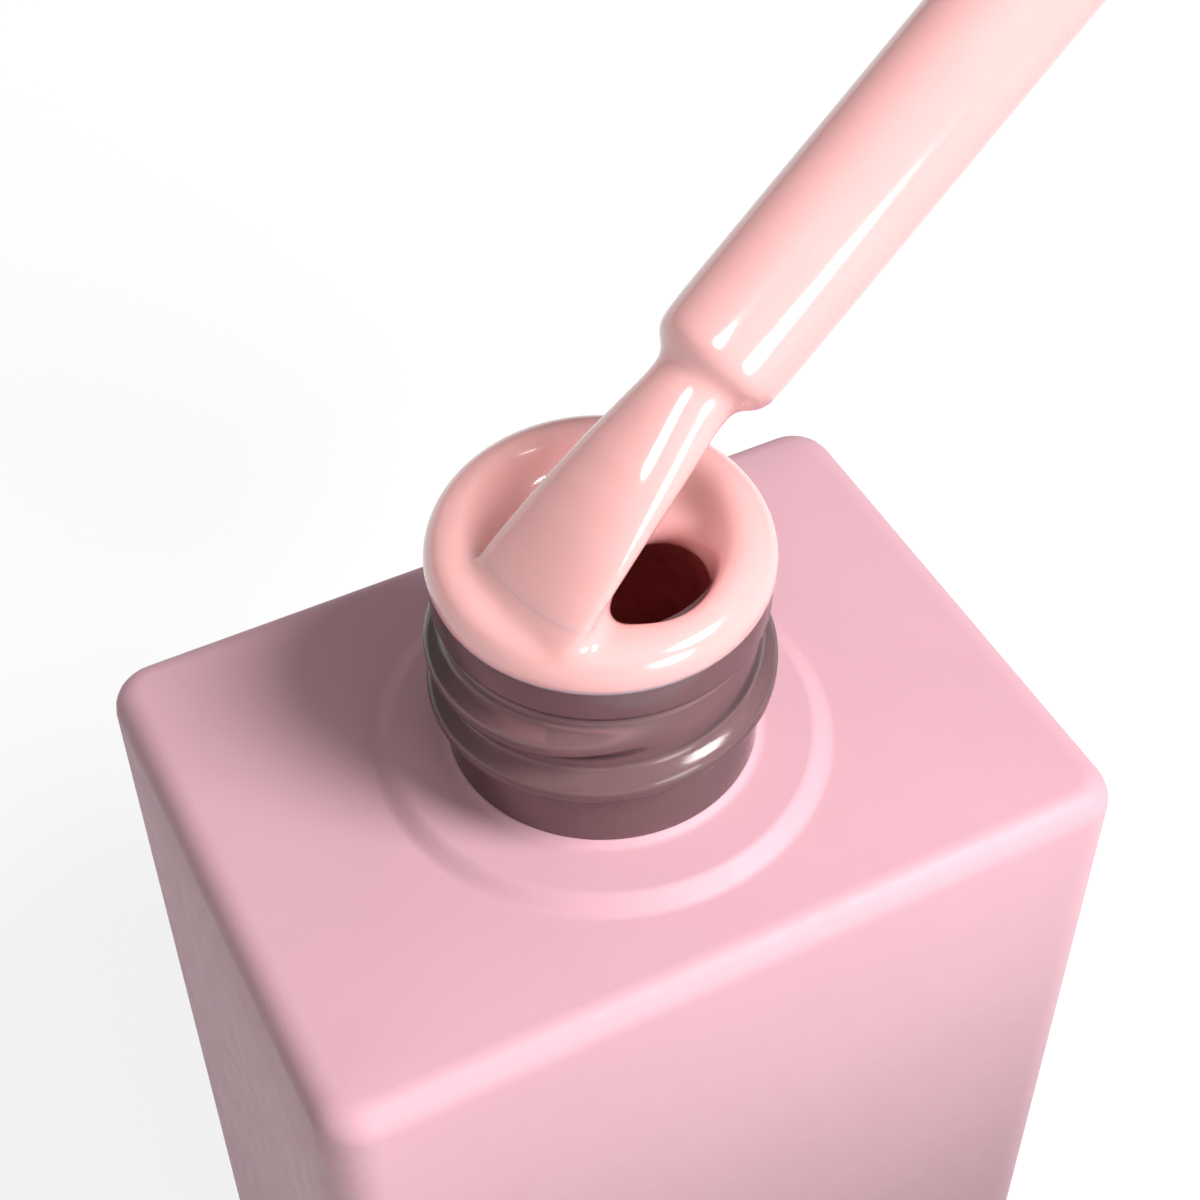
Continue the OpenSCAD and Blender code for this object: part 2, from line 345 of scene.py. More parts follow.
def bristle_material(name, colour):
    """Bundled filaments: fine streaks along the brush axis."""
    mat, nodes, links, shader = material(name)
    coords = nodes.new("ShaderNodeTexCoord")
    turn = nodes.new("ShaderNodeMapping")
    turn.vector_type = "TEXTURE"
    turn.inputs["Rotation"].default_value = BRUSH_AXIS.to_track_quat("Z", "Y").to_euler()
    turn.inputs["Scale"].default_value = (1.0, 1.0, 40.0)
    streaks = nodes.new("ShaderNodeTexNoise")
    streaks.inputs["Scale"].default_value = 9000.0
    links.new(coords.outputs["Object"], turn.inputs["Vector"])
    links.new(turn.outputs["Vector"], streaks.inputs["Vector"])
    links.new(
        ramp(nodes, links, streaks.outputs["Fac"], [(0.35, shade(colour, 0.75)), (0.65, shade(colour, 1.1))]),
        shader.inputs["Base Color"])
    shader.inputs["Roughness"].default_value = 0.35
    bump(nodes, links, shader, streaks.outputs["Fac"], 0.08 * MM, 0.6)
    return mat


def metal_material(name, colour):
    """Drawn flat wire."""
    mat, nodes, links, shader = material(name)
    grain = object_noise(nodes, links, 4000.0, 3.0)
    links.new(
        ramp(nodes, links, grain, [(0.3, shade(colour, 0.85)), (0.7, shade(colour, 1.05))]),
        shader.inputs["Base Color"])
    links.new(level(nodes, links, grain, 0.25, 0.4), shader.inputs["Roughness"])
    shader.inputs["Metallic"].default_value = 1.0
    return mat


# ---------------------------------------------------------------- mesh helpers


def settings():
    return bpy.context.scene.polish_bottle


def add_piece(name, mesh, mat, body, slot, *replaced):
    """Puts a finished mesh in the scene, on its body, in place of its CAD nodes."""
    mesh.name = name
    piece = bpy.data.objects.new(name, mesh)
    bpy.context.scene.collection.objects.link(piece)
    mesh.materials.clear()
    mesh.materials.append(mat)
    mesh.shade_smooth()
    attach(piece, body)
    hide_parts(*replaced)
    return piece


def finish_mesh(bm, name):
    """Turns a bmesh into a mesh."""
    mesh = bpy.data.meshes.new(name)
    bm.to_mesh(mesh)
    bm.free()
    return mesh


def edges_of(verts):
    """The edges that meet some vertices, each once and in a fixed order."""
    return list(dict.fromkeys(e for v in verts for e in v.link_edges))


def end_face(bm, up):
    """The flat face that looks up (1) or down (-1)."""
    flat = [f for f in bm.faces if f.normal.z * up > 0.99]
    return max(flat, key=lambda f: f.calc_center_median().z * up)


def rounded_box(bm, low, high, upright_r, top_r, foot_r):
    """A box rounded on its upright edges, then round its top and its foot."""
    centre, size = (low + high) / 2, high - low
    place = Matrix.Translation(centre) @ Matrix.Diagonal((*size, 1.0))
    made = bmesh.ops.create_cube(bm, size=1.0, matrix=place)["verts"]
    upright = [e for e in edges_of(made)
               if abs(e.verts[0].co.z - e.verts[1].co.z) > size.z / 2]
    bmesh.ops.bevel(bm, geom=upright, offset=upright_r, offset_type="OFFSET", segments=8,
                    affect="EDGES", profile=0.5, material=-1)
    for up, radius in ((1, top_r), (-1, foot_r)):
        if radius:
            bm.normal_update()
            rim = list(end_face(bm, up).edges)
            bmesh.ops.bevel(bm, geom=rim, offset=radius, offset_type="OFFSET", segments=6,
                            affect="EDGES", profile=0.5, material=-1)
    bm.normal_update()


def open_onto_ring(bm, up, radius, z, around):
    """Swaps an end face for a flat collar round a circular hole; returns the hole's edges."""
    face = end_face(bm, up)
    outer = list(face.edges)
    bmesh.ops.delete(bm, geom=[face], context="FACES_ONLY")
    verts = bmesh.ops.create_circle(
        bm, segments=around, radius=radius, matrix=Matrix.Translation((0, 0, z)))["verts"]
    inner = edges_of(verts)
    bmesh.ops.bridge_loops(bm, edges=outer + inner)
    return inner


def follow_profile(bm, edges, profile):
    """Draws a ring of edges through (radius, z) stations, round the Z axis."""
    for radius, z in profile:
        made = bmesh.ops.extrude_edge_only(bm, edges=edges)["geom"]
        edges = [g for g in made if isinstance(g, bmesh.types.BMEdge)]
        for v in [g for g in made if isinstance(g, bmesh.types.BMVert)]:
            flat = Vector((v.co.x, v.co.y, 0)).normalized() * radius
            v.co = (flat.x, flat.y, z)
    return edges


def ease(t):
    t = min(1.0, max(0.0, t))
    return t * t * (3 - 2 * t)


def step_profile(s, margin, steps=10):
    """The soft rise of the shoulder's step, from the flat shoulder to the step's top."""
    top = BODY_HIGH.z - margin
    base = top - s.step_h
    outer, inner = s.step_r + 0.55 * MM - margin, s.step_r - 0.55 * MM - margin
    shares = [i / steps for i in range(1, steps + 1)]
    return [(outer + (inner - outer) * t, base + s.step_h * ease(t)) for t in shares]


# ---------------------------------------------------------------- pieces


class BOTTLE_OT_lacquer(bpy.types.Operator):
    """Build the matte lacquer skin of the body and its raised step"""

    bl_idname = "bottle.lacquer"
    bl_label = "Lacquer Coat"

    def execute(self, context):
        s = settings().bottle
        bm = bmesh.new()
        shoulder = BODY_HIGH.z - s.step_h
        high = Vector((BODY_HIGH.x, BODY_HIGH.y, shoulder))
        rounded_box(bm, BODY_LOW, high, s.upright_r, s.shoulder_r, 0)
        bmesh.ops.delete(bm, geom=[end_face(bm, -1)], context="FACES_ONLY")
        ring = open_onto_ring(bm, 1, s.step_r + 0.55 * MM, shoulder, s.around)
        foot = s.neck_r + 0.45 * MM
        ring = follow_profile(bm, ring, step_profile(s, 0))
        ring = follow_profile(bm, ring, [
            (foot, BODY_HIGH.z),
            (foot - 0.2 * MM, BODY_HIGH.z + 0.04 * MM),
            (foot - 0.35 * MM, BODY_HIGH.z + 0.16 * MM),
            (s.neck_r + 0.03 * MM, BODY_HIGH.z + 0.30 * MM),
        ])
        bmesh.ops.recalc_face_normals(bm, faces=bm.faces[:])
        bmesh.ops.solidify(bm, geom=bm.faces[:], thickness=s.lacquer_t * 0.9)
        mat = lacquer_material("matte_lacquer", settings().finish.lacquer)
        mesh = finish_mesh(bm, "body_lacquer")
        add_piece("body_lacquer", mesh, mat, "bottle", "pink_lacquer", "lacquer_coat")
        return {"FINISHED"}


def thread_swell(s, x, y, z):
    """How far the thread stands out of the neck at a point, as a share of how deep the thread is."""
    start = THREAD_LOW.z + 0.85 * MM
    turn = (math.atan2(y, x) / (2 * math.pi)) % 1.0
    best = 0.0
    for k in range(3):
        along = turn + k
        if along > s.thread_turns:
            continue
        away = abs(z - start - s.thread_pitch * along)
        fade = ease(min(along, s.thread_turns - along) / 0.16)
        best = max(best, fade * ease(1.25 - away / (0.78 * MM)))
    return best


class BOTTLE_OT_glass(bpy.types.Operator):
    """Build the glass: body, step, threaded neck, lip, bore and the hollow for the polish"""

    bl_idname = "bottle.glass"
    bl_label = "Glass Bottle"

    def execute(self, context):
        s = settings().bottle
        bm = bmesh.new()
        margin = s.lacquer_t
        shoulder = BODY_HIGH.z - s.step_h - margin
        rounded_box(bm, GLASS_LOW, Vector((GLASS_HIGH.x, GLASS_HIGH.y, shoulder)),
                    s.upright_r - margin, s.shoulder_r - margin, 0.8 * MM)
        ring = open_onto_ring(bm, 1, s.step_r + 0.55 * MM - margin, shoulder, s.around)
        ring = follow_profile(bm, ring, step_profile(s, margin))
        rim = GLASS_HIGH.z
        band = rim - s.lip_h
        groove = band - 0.75 * MM
        foot = BODY_HIGH.z - margin
        ring = follow_profile(bm, ring, [
            (s.neck_r + 0.3 * MM, foot), (s.neck_r + 0.08 * MM, foot + 0.15 * MM)])
        rows = int((groove - foot) / (0.14 * MM))
        ring = follow_profile(bm, ring, [
            (s.neck_r, foot + 0.3 * MM + (groove - foot - 0.3 * MM) * i / rows) for i in range(rows + 1)])
        lip_rise = [(s.neck_r - 0.1 * MM + (s.lip_r - s.neck_r + 0.1 * MM) * ease(i / 6),
                     groove + (band - groove) * i / 6) for i in range(1, 7)]
        edge = 0.55 * MM
        lip_round = [(s.lip_r - edge + edge * math.cos(a), rim - edge + edge * math.sin(a))
                     for a in (math.radians(d) for d in range(0, 91, 15))]
        ring = follow_profile(bm, ring, lip_rise)
        ring = follow_profile(bm, ring, lip_round)
        inner_edge = 0.3 * MM
        bore_round = [(s.bore_r + inner_edge - inner_edge * math.sin(a),
                       rim - inner_edge + inner_edge * math.cos(a))
                      for a in (math.radians(d) for d in range(0, 91, 30))]
        cavity_top = BODY_HIGH.z - s.step_h - 4.0 * MM
        ring = follow_profile(bm, ring, bore_round)
        ring = follow_profile(bm, ring, [(s.bore_r, rim - 4.0 * MM), (s.bore_r, cavity_top)])
        for v in bm.verts:
            radius = math.hypot(v.co.x, v.co.y)
            if s.bore_r + 1.0 * MM < radius < s.lip_r and foot + 0.2 * MM < v.co.z < band:
                out = 1 + (THREAD_HIGH.x - s.neck_r) * thread_swell(s, v.co.x, v.co.y, v.co.z) / radius
                v.co.x *= out
                v.co.y *= out
        hollow = bmesh.new()
        gap = Vector((1, 1, 1)) * 0.05 * MM
        rounded_box(hollow, FILL_LOW - gap,
                    Vector((FILL_HIGH.x, FILL_HIGH.y, cavity_top - gap.z)) + gap,
                    3.5 * MM, 0, 0.8 * MM)
        open_onto_ring(hollow, 1, s.bore_r, cavity_top, s.around)
        part = finish_mesh(hollow, "hollow")
        bm.from_mesh(part)
        bpy.data.meshes.remove(part)
        bmesh.ops.remove_doubles(bm, verts=bm.verts[:], dist=0.01 * MM)
        bmesh.ops.recalc_face_normals(bm, faces=bm.faces[:])
        # the glass colour carries painted shade of the smear behind it and darker glancing edges
        mat = neck_glass_material("glass_over_painted_shade", settings().finish.glass)
        add_piece("glass_with_threaded_neck", finish_mesh(bm, "glass"), mat, "bottle", "bottle_glass",
                  "glass_bottle", "neck_thread")
        return {"FINISHED"}


def brush_frame():
    """Turns local coordinates (across, above, along the brush axis from the stem's end) into the frame's."""
    across = BRUSH_AXIS.cross(Vector((0, 0, 1))).normalized()
    above = across.cross(BRUSH_AXIS).normalized()
    turn = Matrix((across, above, BRUSH_AXIS)).transposed().to_4x4()
    return Matrix.Translation(STEM_END) @ turn


def lofted_coat(bm, stations, around=48):
    """A closed skin through stations, in mm: along, half width, half thickness, shift across, shift above."""
    place = brush_frame()
    along, half_w, half_t, across, above = stations[0]
    made = bmesh.ops.create_circle(bm, cap_ends=True, segments=around, radius=1.0)["verts"]
    edges = [e for e in edges_of(made) if len(e.link_faces) == 1]
    verts = made
    unit = {v: (v.co.x, v.co.y) for v in made}
    for station in stations:
        along, half_w, half_t, across, above = station
        for v in verts:
            x, y = unit[v]
            v.co = place @ (Vector((across + x * half_w, above + y * half_t, along)) * MM)
        if station is stations[-1]:
            break
        old = {tuple(round(c, 9) for c in v.co): unit[v] for v in verts}
        geom = bmesh.ops.extrude_edge_only(bm, edges=edges)["geom"]
        verts = [g for g in geom if isinstance(g, bmesh.types.BMVert)]
        edges = [g for g in geom if isinstance(g, bmesh.types.BMEdge)]
        for v in verts:
            unit[v] = old[tuple(round(c, 9) for c in v.co)]
    bmesh.ops.contextual_create(bm, geom=edges)


def tuft_station(along, half, thick, drop, drift):
    """A flattened section of the tuft that keeps its width as it bends down onto the rim."""
    lean, turn = 0.517, 0.856
    wide = math.sqrt(half * half - (lean * thick) ** 2) / turn
    return along, wide, thick, (drift - lean * drop) / turn, -drop


def brush_coat_stations(p):
    """Coated stem, its rounded shoulder, and the tuft flaring down to the rim."""
    r = p.stem_r / MM
    top = p.coat_len / MM
    stem = [(top, r - 0.25, r - 0.25, 0, 0), (top - 0.25, r - 0.05, r - 0.05, 0, 0), (top - 0.8, r, r, 0, 0)]
    stem += [(top - 0.8 - (top - 3.8) * i / 16, r, r, 0, 0) for i in range(1, 17)]
    shoulder = [(1.6, r, r, 0, 0), (0.7, r - 0.02, r - 0.02, 0, 0), (0.1, r - 0.06, r - 0.06, 0, 0),
                (-0.25, r - 0.22, r - 0.2, -0.02, 0), (-0.5, r - 0.5, r - 0.45, -0.04, 0),
                (-0.65, r - 0.78, r - 0.75, -0.05, 0)]
    tuft = [tuft_station(*row) for row in (
        (-0.9, 1.72, 1.62, 0.00, 0.00),
        (-1.8, 1.72, 1.55, 0.05, 0.00),
        (-3.0, 1.88, 1.50, 0.14, 0.02),
        (-5.0, 2.12, 1.40, 0.32, 0.05),
        (-6.6, 2.28, 1.26, 0.55, 0.08),
        (-8.0, 2.42, 1.12, 0.85, 0.12),
        (-9.2, 2.52, 0.97, 1.18, 0.18),
        (-10.2, 2.60, 0.84, 1.46, 0.22),
        (-11.1, 2.62, 0.68, 1.70, 0.26),
        (-11.9, 2.45, 0.50, 1.90, 0.28),
        (-12.4, 1.90, 0.30, 2.02, 0.30),
    )]
    return stem + shoulder + tuft


def pool_stations():
    """The polish that fills in under the tuft where it meets the rim."""
    return [tuft_station(*row) for row in (
        (-4.6, 0.9, 0.6, 2.3, 0.0),
        (-5.4, 1.5, 1.2, 2.7, 0.0),
        (-7.0, 1.9, 1.7, 2.9, 0.0),
        (-9.0, 2.4, 1.8, 2.7, 0.3),
        (-11.0, 2.6, 1.4, 2.4, 0.6),
        (-12.0, 2.2, 0.9, 2.3, 0.7),
    )]


def hole_reach(angle, p):
    """Distance from the open hole's middle to its edge, an oval along the tuft."""
    turned = angle - math.radians(HOLE_HEADING)
    long, short = p.hole_long, p.hole_short
    return long * short / math.hypot(short * math.cos(turned), long * math.sin(turned))


def rim_reach(angle, radius):
    """Distance from the open hole's middle to a circle round the neck."""
    x, y = HOLE_MIDDLE.x, HOLE_MIDDLE.y
    along = x * math.cos(angle) + y * math.sin(angle)
    return math.sqrt(along * along + radius * radius - x * x - y * y) - along


def film_top(x, y, p):
    """Height of the film above the rim: a dome on the rim, higher at the back, and a sagging skin inside."""
    radius, angle = math.hypot(x, y), math.atan2(y, x)
    back = math.cos(angle - math.radians(BACK_HEADING))
    crest = p.film_h * (1.0 + 0.45 * back)
    dome = crest * ease(1.0 - abs(radius - 5.65 * MM) / (1.75 * MM)) ** 0.8
    sag = 0.55 * MM * ease((5.2 * MM - radius) / (1.6 * MM))
    return dome - sag


def rim_film(bm, s, p):
    """The polish lying over the rim and skinning part of the bore, with an open hole beside the tuft."""
    inner, middle, outer = 10.0, 20.0, 30.0
    section = [(inner + 0.30, -1.9), (inner, -1.3), (inner + 0.03, -0.75), (inner + 0.16, -0.30),
               (inner + 0.42, -0.02), (inner + 0.75, 0.0)]
    section += [(middle + step / 8, 0.0) for step in range(1, 8)]
    section += [(outer - 0.70, 0.0), (outer - 0.32, -0.06), (outer - 0.10, -0.26), (outer, -0.55),
                (outer - 0.03, -0.80), (outer - 0.35, -1.05), (middle + 0.5, -1.3)]
    section = section[::-1]
    start = [bm.verts.new((code, 0.0, float(i))) for i, (code, _) in enumerate(section)]
    edges = [bm.edges.new((a, b)) for a, b in zip(start, start[1:] + start[:1])]
    bmesh.ops.spin(bm, geom=start + edges, cent=(0, 0, 0), axis=(0, 0, 1), dvec=(0, 0, 0),
                   angle=2 * math.pi, steps=120, use_merge=True, use_duplicate=False)
    rim, wrap_r = GLASS_HIGH.z, s.lip_r + 0.17 * MM
    for v in bm.verts:
        angle = math.atan2(v.co.y, v.co.x)
        code, low = section[round(v.co.z)]
        hole, edge = hole_reach(angle, p), rim_reach(angle, wrap_r)
        if code < middle - 5:
            reach = hole + (code - inner) * MM
        elif code > middle + 5:
            reach = edge - (outer - code) * MM
        else:
            first, last = hole + 0.75 * MM, edge - 0.70 * MM
            reach = first + (last - first) * (code - middle)
        x, y = HOLE_MIDDLE.x + reach * math.cos(angle), HOLE_MIDDLE.y + reach * math.sin(angle)
        front = 0.5 - 0.5 * math.cos(math.atan2(y, x) - math.radians(BACK_HEADING))
        if low > -0.9:
            drape = 1.0 + 0.9 * front if code > middle + 5 else 1.0
            z = film_top(x, y, p) + low * drape * MM
        else:
            z = (low - (0.5 * front if code > middle + 5 else 0.0)) * MM
        v.co = (x, y, rim + z)


def wet_skin(bm, p):
    """Melts overlapping solids into one skin with filled corners."""
    bmesh.ops.recalc_face_normals(bm, faces=bm.faces[:])
    lump = bpy.data.objects.new("wet_lump", finish_mesh(bm, "wet_lump"))
    bpy.context.scene.collection.objects.link(lump)
    for offset in (0, p.fillet, -p.fillet):
        if offset:
            swell = lump.modifiers.new("swell", "DISPLACE")
            swell.strength = offset
            swell.mid_level = 0.0
            swell.direction = "NORMAL"
        melt = lump.modifiers.new("melt", "REMESH")
        melt.mode = "VOXEL"
        melt.voxel_size = p.voxel
    graph = bpy.context.evaluated_depsgraph_get()
    mesh = bpy.data.meshes.new_from_object(lump.evaluated_get(graph))
    bpy.data.objects.remove(lump)
    skin = bmesh.new()
    skin.from_mesh(mesh)
    bpy.data.meshes.remove(mesh)
    for _ in range(p.smoothing):
        bmesh.ops.smooth_vert(skin, verts=skin.verts[:], factor=0.5,
                              use_axis_x=True, use_axis_y=True, use_axis_z=True)
    return skin


def split_skin(skin, z, keep_above):
    """One side of the skin, cut at a level and closed with a shallow dome; its rest normals stay."""
    bm = skin.copy()
    bm.normal_update()
    rest = bm.verts.layers.float_vector.new("rest_normal")
    on_skin = bm.faces.layers.int.new("on_skin")
    for v in bm.verts:
        v[rest] = v.normal
    for f in bm.faces:
        f[on_skin] = 1
    cut = bmesh.ops.bisect_plane(
        bm, geom=bm.verts[:] + bm.edges[:] + bm.faces[:], dist=0.001 * MM, plane_co=(0, 0, z),
        plane_no=(0, 0, 1), clear_outer=not keep_above, clear_inner=keep_above)
    rim = [g for g in cut["geom_cut"] if isinstance(g, bmesh.types.BMEdge)]
    sides = len(bm.faces)
    bmesh.ops.holes_fill(bm, edges=rim, sides=0)
    bm.faces.ensure_lookup_table()
    caps = bm.faces[sides:]
    for f in caps:
        f[on_skin] = 0
    dip = -1 if keep_above else 1
    for inset, lift in ((0.06, 0.05), (0.09, 0.05)):
        bmesh.ops.inset_region(bm, faces=caps, thickness=inset * MM, use_even_offset=False)
        for v in {v for f in caps for v in f.verts}:
            v.co.z += dip * lift * MM
    bmesh.ops.triangulate(bm, faces=caps)
    bmesh.ops.recalc_face_normals(bm, faces=bm.faces[:])
    return bm


def keep_rest_normals(mesh):
    """Uses the whole skin's normals on the cut pieces, so that they meet without a seam."""
    rest = mesh.attributes.get("rest_normal")
    stored = np.zeros(len(mesh.vertices) * 3, np.float32)
    rest.data.foreach_get("vector", stored)
    stored = stored.reshape(-1, 3)
    lengths = np.linalg.norm(stored, axis=1)
    on_skin = mesh.attributes["on_skin"].data
    normals = [(0.0, 0.0, 0.0)] * len(mesh.loops)
    for face in mesh.polygons:
        for corner, vertex in zip(face.loop_indices, face.vertices):
            if on_skin[face.index].value and lengths[vertex] > 0.5:
                normals[corner] = tuple(stored[vertex])
    mesh.normals_split_custom_set(normals)
    mesh.attributes.remove(mesh.attributes["rest_normal"])
    mesh.attributes.remove(mesh.attributes["on_skin"])


class BOTTLE_OT_wet_polish(bpy.types.Operator):
    """Build the film on the rim and the coat on the brush as one wet skin, parted between the two bodies"""

    bl_idname = "bottle.wet_polish"
    bl_label = "Wet Polish"

    def execute(self, context):
        s, p = settings().bottle, settings().polish
        bm = bmesh.new()
        rim_film(bm, s, p)
        lofted_coat(bm, brush_coat_stations(p))
        lofted_coat(bm, pool_stations())
        skin = wet_skin(bm, p)
        level_z = GLASS_HIGH.z + p.parting_h
        mat = polish_material("wet_gel_polish", settings().finish.polish,
                              GLASS_HIGH.z - 1.30 * MM, GLASS_HIGH.z - 0.95 * MM)
        film = finish_mesh(split_skin(skin, level_z, False), "rim_film")
        coat = finish_mesh(split_skin(skin, level_z, True), "brush_coat")
        skin.free()
        film_piece = add_piece("film_on_rim", film, mat, "bottle", "gel_polish", "rim_polish")
        coat_piece = add_piece("polish_on_brush", coat, mat, "applicator", "gel_polish",
                               "stem_polish", "tuft_polish")
        for piece in (film_piece, coat_piece):
            keep_rest_normals(piece.data)
            bpy.data.collections["wet_pieces"].objects.link(piece)
        return {"FINISHED"}


class BOTTLE_OT_bore_smear(bpy.types.Operator):
    """Build the thin smear of old polish on the wall of the bore"""

    bl_idname = "bottle.bore_smear"
    bl_label = "Bore Smear"

    def execute(self, context):
        s, f = settings().bottle, settings().finish
        bm = bmesh.new()
        top, low = GLASS_HIGH.z - 0.6 * MM, BODY_HIGH.z - s.step_h - 4.0 * MM
        wall, thin, thick = s.bore_r - 0.02 * MM, s.bore_r - 0.12 * MM, s.bore_r - 0.3 * MM
        verts = bmesh.ops.create_circle(
            bm, segments=s.around, radius=wall, matrix=Matrix.Translation((0, 0, top)))["verts"]
        first = edges_of(verts)
        ring = follow_profile(bm, first, [
            (thin, top - 0.1 * MM), (thick, top - 1.2 * MM), (thick, top - 2.4 * MM), (thin, top - 5.0 * MM),
            (thin, low + 1.0 * MM), (thin, low + 0.1 * MM), (wall, low)])
        bmesh.ops.bridge_loops(bm, edges=first + ring)
        bmesh.ops.recalc_face_normals(bm, faces=bm.faces[:])
        mat = smear_material("shaded_polish_smear", f.smear)
        add_piece("smear_in_bore", finish_mesh(bm, "smear"), mat, "bottle", "gel_polish")
        return {"FINISHED"}


class BOTTLE_OT_bristles(bpy.types.Operator):
    """Build the tuft as a bundle of fine tapering filaments"""

    bl_idname = "bottle.bristles"
    bl_label = "Bristles"

    def execute(self, context):
        bm = bmesh.new()
        filaments, golden, filament_r = 90, math.radians(137.508), 0.075
        path = ((4.3, 0.9, 0.0), (0.0, 0.9, 0.0), (-3.0, 0.85, 0.14), (-5.0, 0.8, 0.32), (-6.6, 0.72, 0.55),
                (-8.0, 0.62, 0.85), (-9.2, 0.50, 1.18), (-10.4, 0.38, 1.52))
        for i in range(filaments):
            share, angle = math.sqrt((i + 0.5) / filaments), i * golden
            stations = []
            for n, (along, spread, drop) in enumerate(path):
                thin = filament_r * (1.0 - 0.5 * n / len(path))
                across = share * spread * 1.3 * math.cos(angle) - 0.6 * drop
                above = share * spread * math.sin(angle) - drop
                stations.append((along, thin, thin, across, above))
            lofted_coat(bm, stations, around=6)
        bmesh.ops.recalc_face_normals(bm, faces=bm.faces[:])
        mat = bristle_material("soaked_bristles", shade(settings().finish.polish, 0.85))
        mesh = finish_mesh(bm, "bristles")
        add_piece("bristle_bundle", mesh, mat, "applicator", "bristle_nylon", "bristles")
        return {"FINISHED"}


class BOTTLE_OT_brush_and_cap(bpy.types.Operator):
    """Give the cap, the brush and the polish inside their finishes"""

    bl_idname = "bottle.brush_and_cap"
    bl_label = "Brush and Cap"

    def execute(self, context):
        f = settings().finish
        plastic = moulded_material("moulded_cap_plastic", f.cap, 0.42, 2500.0)
        finishes = {
            "overcap": lacquer_material("matte_cap_lacquer", f.lacquer),
            "inner_cap": plastic,
            "cap_thread": plastic,
            "cap_liner": moulded_material("liner_foam", (0.88, 0.88, 0.86), 0.65, 6000.0),
            "brush_stem": moulded_material("stem_plastic", (0.82, 0.80, 0.78), 0.32, 1800.0),
            "tuft_staple": metal_material("staple_wire", (0.75, 0.63, 0.40)),
            # the polish inside the bottle takes the smear's painted-shade red
            "polish_fill": smear_material("shaded_polish_in_bottle", f.smear),
        }
        for node, mat in finishes.items():
            for material_slot in frame["nodes"][node].material_slots:
                material_slot.material = mat
        return {"FINISHED"}


# ---------------------------------------------------------------- stage


def area_light(name, position, target, size, power, colour=(1, 1, 1)):
    """A round softbox that looks at a point."""
    data = bpy.data.lights.new(name, "AREA")
    data.shape = "DISK"
    data.size = size
    data.energy = power
    data.color = colour
    light = bpy.data.objects.new(name, data)
    light.location = position
    light.rotation_mode = "QUATERNION"
    light.rotation_quaternion = (target - position).to_track_quat("-Z", "Y")
    bpy.context.scene.collection.objects.link(light)
    return light


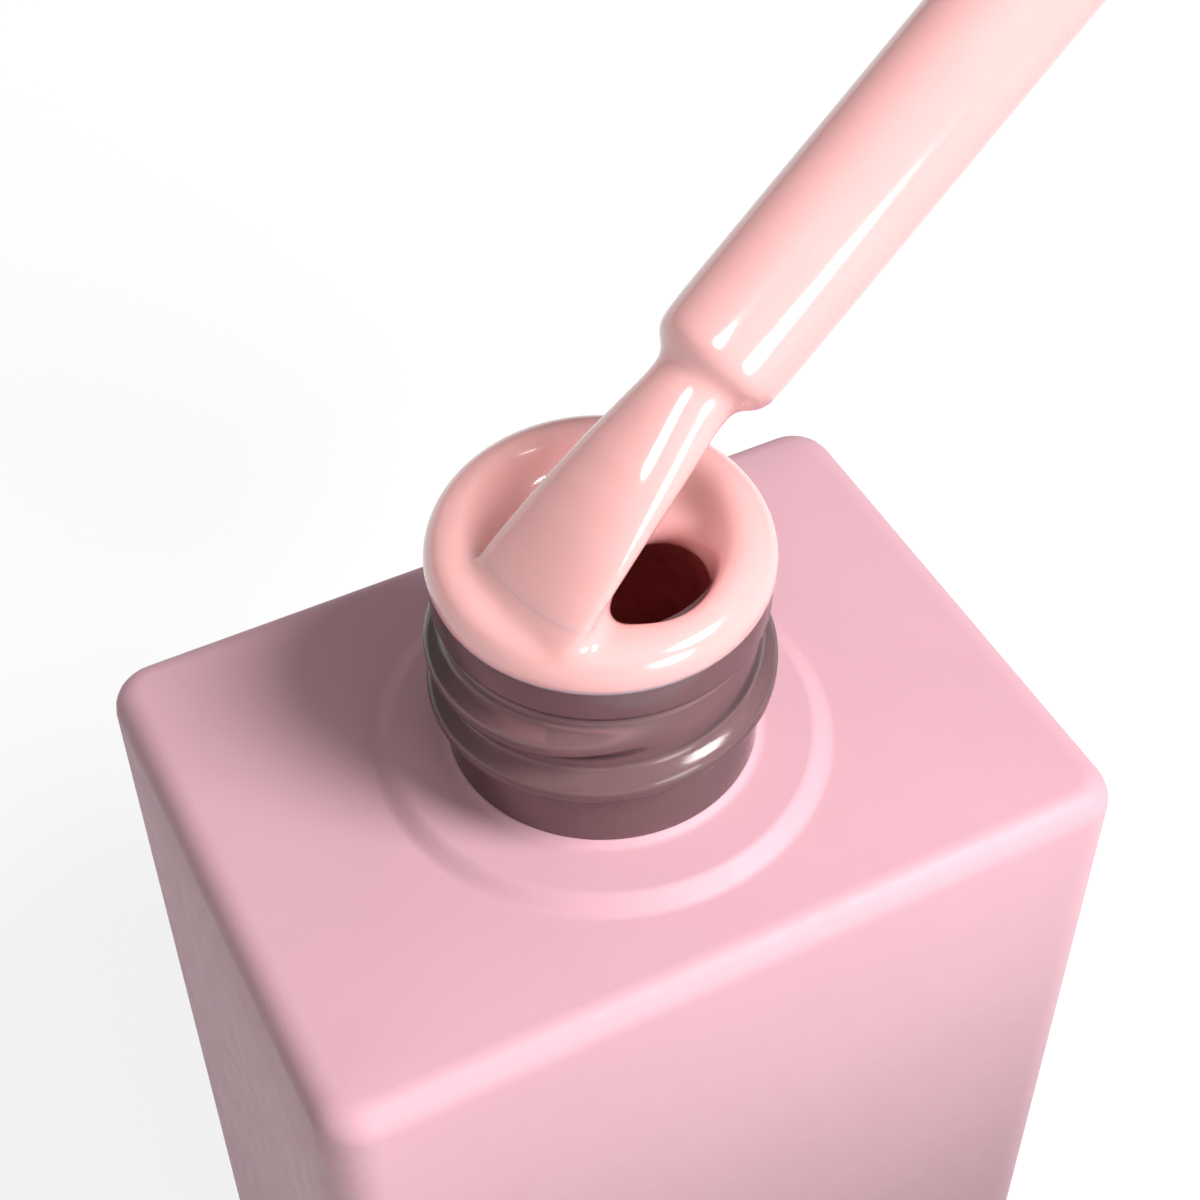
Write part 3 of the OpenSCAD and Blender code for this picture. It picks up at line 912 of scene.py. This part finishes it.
class BOTTLE_OT_stage(bpy.types.Operator):
    """Set the floor, the lights and the camera"""

    bl_idname = "bottle.stage"
    bl_label = "Studio Stage"

    def execute(self, context):
        t = settings().stage
        scene = context.scene
        bm = bmesh.new()
        bmesh.ops.create_grid(bm, x_segments=8, y_segments=8, size=30.0)
        floor = bpy.data.objects.new("floor", finish_mesh(bm, "floor"))
        scene.collection.objects.link(floor)
        mat, nodes, links, shader = material("pale_floor")
        cloud = object_noise(nodes, links, 6.0)
        links.new(
            ramp(nodes, links, cloud, [(0.3, shade(t.floor, 0.995)), (0.7, t.floor)]),
            shader.inputs["Base Color"])
        shader.inputs["Roughness"].default_value = 0.9
        shader.inputs["Specular IOR Level"].default_value = 0.1
        shader.inputs["Emission Color"].default_value = (1.0, 1.0, 1.0, 1.0)
        shader.inputs["Emission Strength"].default_value = t.floor_glow
        floor.data.materials.append(mat)
        floor.visible_diffuse = False
        world = bpy.data.worlds.new("room")
        world.use_nodes = True
        world.node_tree.nodes["Background"].inputs["Color"].default_value = (1, 1, 1, 1)
        world.node_tree.nodes["Background"].inputs["Strength"].default_value = t.world
        scene.world = world
        target = Vector((0, 0, BODY_HIGH.z))
        heading = Vector((0.64, -0.77, 0)).normalized()
        slope = math.radians(48)
        key_dir = heading * math.cos(slope) + Vector((0, 0, math.sin(slope)))
        area_light("key_softbox", target + key_dir * 0.40, target, 0.17, t.key_power)
        area_light("front_softbox", target + Vector((0.08, -0.38, 0.06)), target, 0.20, t.front_power)
        fill = area_light("polish_softbox", target + Vector((-0.16, -0.16, 0.30)), target, 0.12, t.fill_power)
        fill.light_linking.receiver_collection = bpy.data.collections.new("wet_pieces")
        scene.view_settings.view_transform = "Standard"
        self.camera(scene, t)
        return {"FINISHED"}

    def camera(self, scene, t):
        azimuth, elevation, roll = math.radians(-26.60), math.radians(46.88), math.radians(-0.567)
        back = Vector((math.sin(azimuth) * math.cos(elevation), -math.cos(azimuth) * math.cos(elevation),
                       math.sin(elevation)))
        right = Vector((0, 0, 1)).cross(back).normalized()
        up = back.cross(right)
        data = bpy.data.cameras.new("camera")
        data.lens = t.lens
        data.sensor_width = 36.0
        data.clip_start = 0.005
        camera = bpy.data.objects.new("camera", data)
        turned_right = right * math.cos(roll) + up * math.sin(roll)
        turned_up = up * math.cos(roll) - right * math.sin(roll)
        shoulder = BODY_HIGH.z - settings().bottle.step_h
        camera.matrix_world = (
            Matrix.Translation(Vector((-27.64, -55.10, 73.95)) * MM + Vector((0, 0, shoulder)))
            @ Matrix((turned_right, turned_up, back)).transposed().to_4x4())
        scene.collection.objects.link(camera)
        scene.camera = camera


# ---------------------------------------------------------------- add-on


class BottleProperties(bpy.types.PropertyGroup):
    """All the settings of the bottle."""

    bottle: PointerProperty(type=BottleSettings)
    polish: PointerProperty(type=PolishSettings)
    finish: PointerProperty(type=FinishSettings)
    stage: PointerProperty(type=StageSettings)


PIECE_OPERATORS = (BOTTLE_OT_stage, BOTTLE_OT_glass, BOTTLE_OT_bore_smear, BOTTLE_OT_lacquer,
                   BOTTLE_OT_wet_polish, BOTTLE_OT_bristles, BOTTLE_OT_brush_and_cap)


class BOTTLE_PT_panel(bpy.types.Panel):
    """Lists the operators and the settings"""

    bl_idname = "BOTTLE_PT_panel"
    bl_label = "Gel Polish Bottle"
    bl_space_type = "VIEW_3D"
    bl_region_type = "UI"
    bl_category = "Bottle"

    def draw(self, context):
        for operator in PIECE_OPERATORS:
            self.layout.operator(operator.bl_idname)
        for group in ("bottle", "polish", "finish", "stage"):
            box = self.layout.box()
            box.label(text=group.title())
            values = getattr(context.scene.polish_bottle, group)
            for name in values.bl_rna.properties.keys():
                if name not in ("rna_type", "name"):
                    box.prop(values, name)


CLASSES = (BottleSettings, PolishSettings, FinishSettings, StageSettings, BottleProperties,
           *PIECE_OPERATORS, BOTTLE_PT_panel)


def register():
    for cls in CLASSES:
        bpy.utils.register_class(cls)
    bpy.types.Scene.polish_bottle = PointerProperty(type=BottleProperties)


def unregister():
    del bpy.types.Scene.polish_bottle
    for cls in reversed(CLASSES):
        bpy.utils.unregister_class(cls)


def main():
    register()
    bpy.ops.bottle.stage()
    bpy.ops.bottle.glass()
    bpy.ops.bottle.bore_smear()
    bpy.ops.bottle.lacquer()
    bpy.ops.bottle.wet_polish()
    bpy.ops.bottle.bristles()
    bpy.ops.bottle.brush_and_cap()


if __name__ == "__main__":
    main()
